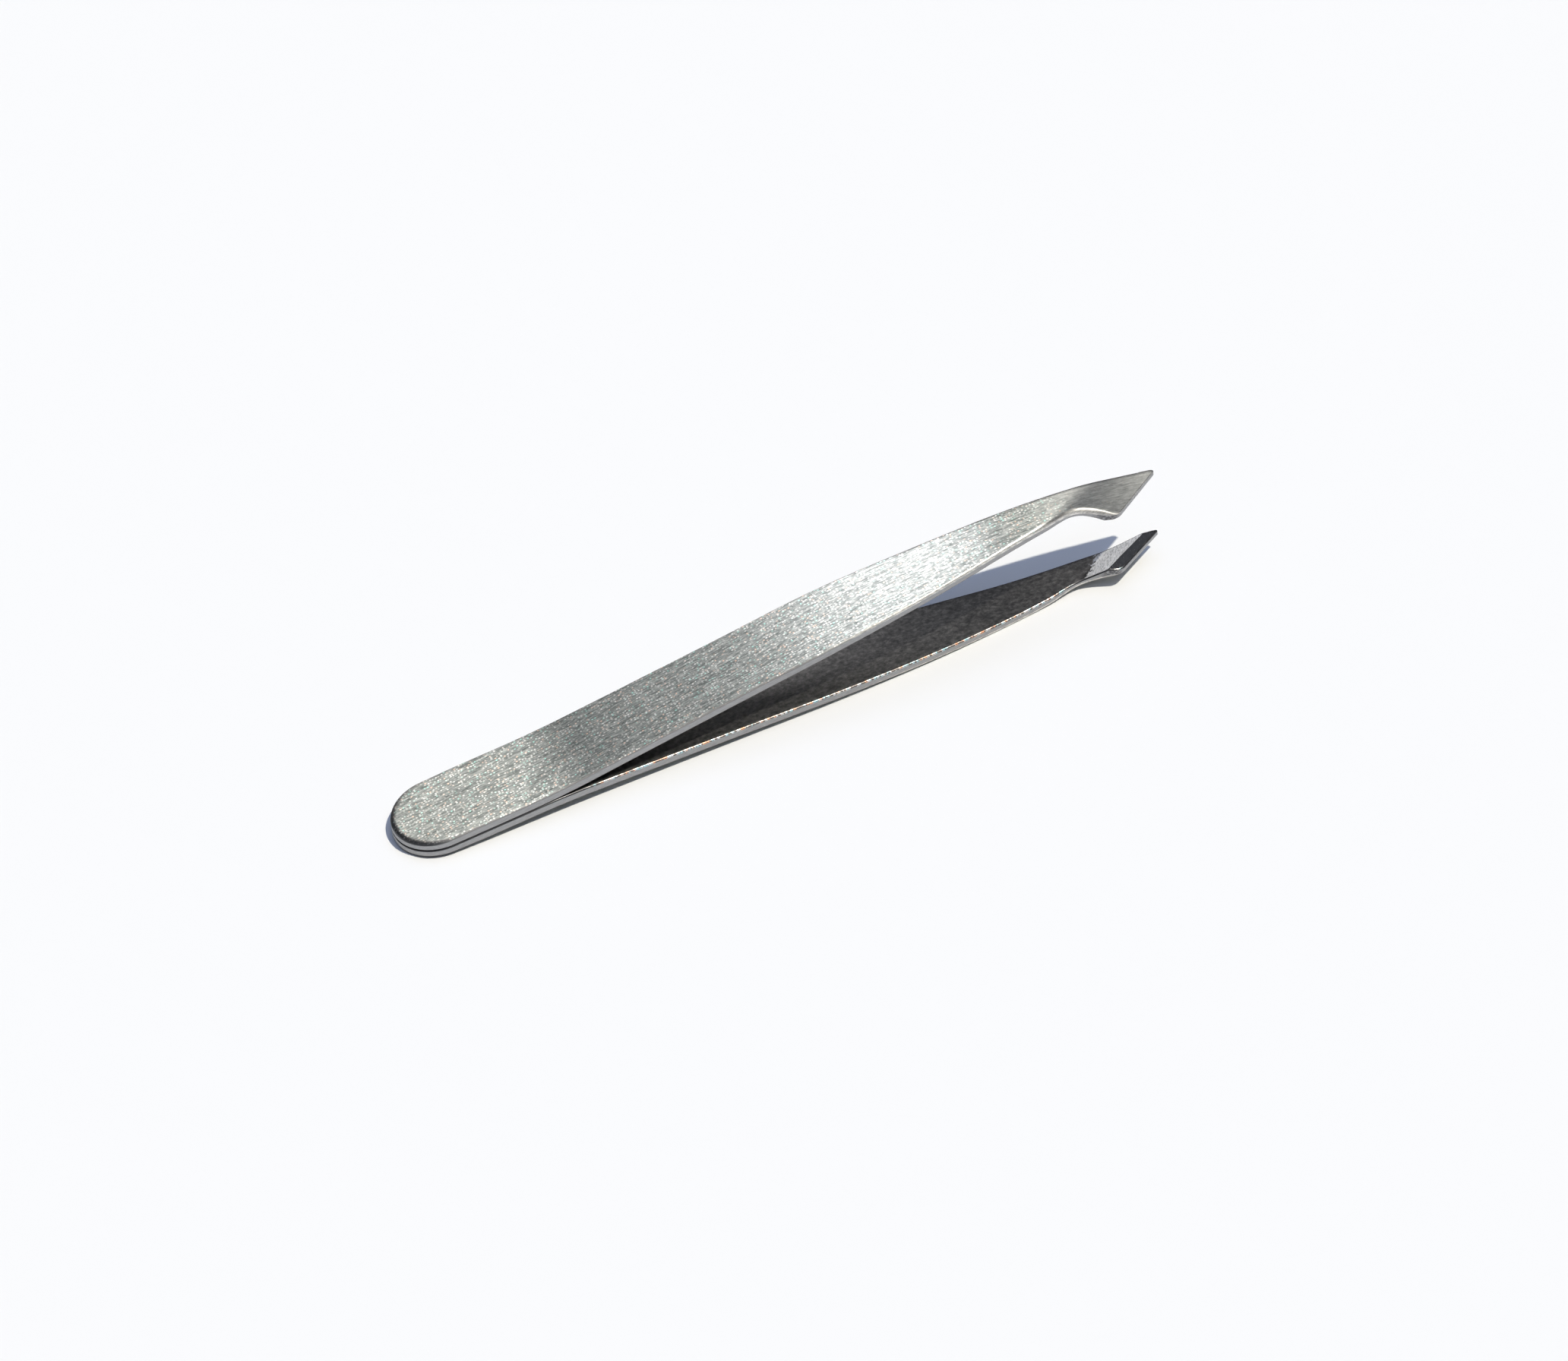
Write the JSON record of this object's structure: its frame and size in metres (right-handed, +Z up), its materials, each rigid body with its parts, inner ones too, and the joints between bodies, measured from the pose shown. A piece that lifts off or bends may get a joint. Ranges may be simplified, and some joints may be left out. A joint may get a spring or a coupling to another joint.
{
  "type": "slant tweezers",
  "caption": "Slant tweezers: mirrored sprung steel arms welded at a rounded tail, tapering to inward-bent tips with slanted, scalloped ends; squeezing the arms closes the tips.",
  "frame": {"origin": "centre of the bounding box at the ground the tweezers lie on", "axes": "+X along the tweezers from the tail to the tips, +Y across towards the pointed side of the tips, +Z up, from the lower arm to the upper arm"},
  "size_m": [0.095, 0.0088, 0.0152],
  "materials": {
    "brushed_steel": "lengthwise brushed stainless steel, satin on the edges",
    "weld_metal": "dull fused stainless steel, hidden in the seam"
  },
  "bodies": {
    "tail": {"upper_arm_tail": "brushed_steel", "lower_arm_tail": "brushed_steel", "weld_nugget_rear": "weld_metal", "weld_nugget_front": "weld_metal"},
    "upper_arm": {"upper_arm_blade": "brushed_steel"},
    "lower_arm": {"lower_arm_blade": "brushed_steel"}
  },
  "joints": [
    {"name": "upper_flex", "type": "hinge", "parent": "tail", "child": "upper_arm", "pos_m": [-0.0226, 0, 0.00459], "axis": [0, 1, 0], "range_deg": [0, 4.15], "stiffness_Nm_per_rad": 6},
    {"name": "lower_flex", "type": "hinge", "parent": "tail", "child": "lower_arm", "pos_m": [-0.02239, 0, 0.00189], "axis": [0, -1, 0], "range_deg": [0, 4.15], "stiffness_Nm_per_rad": 6}
  ],
  "couplings": [
    {"joint": "lower_flex", "follows": "upper_flex", "ratio": 1}
  ]
}
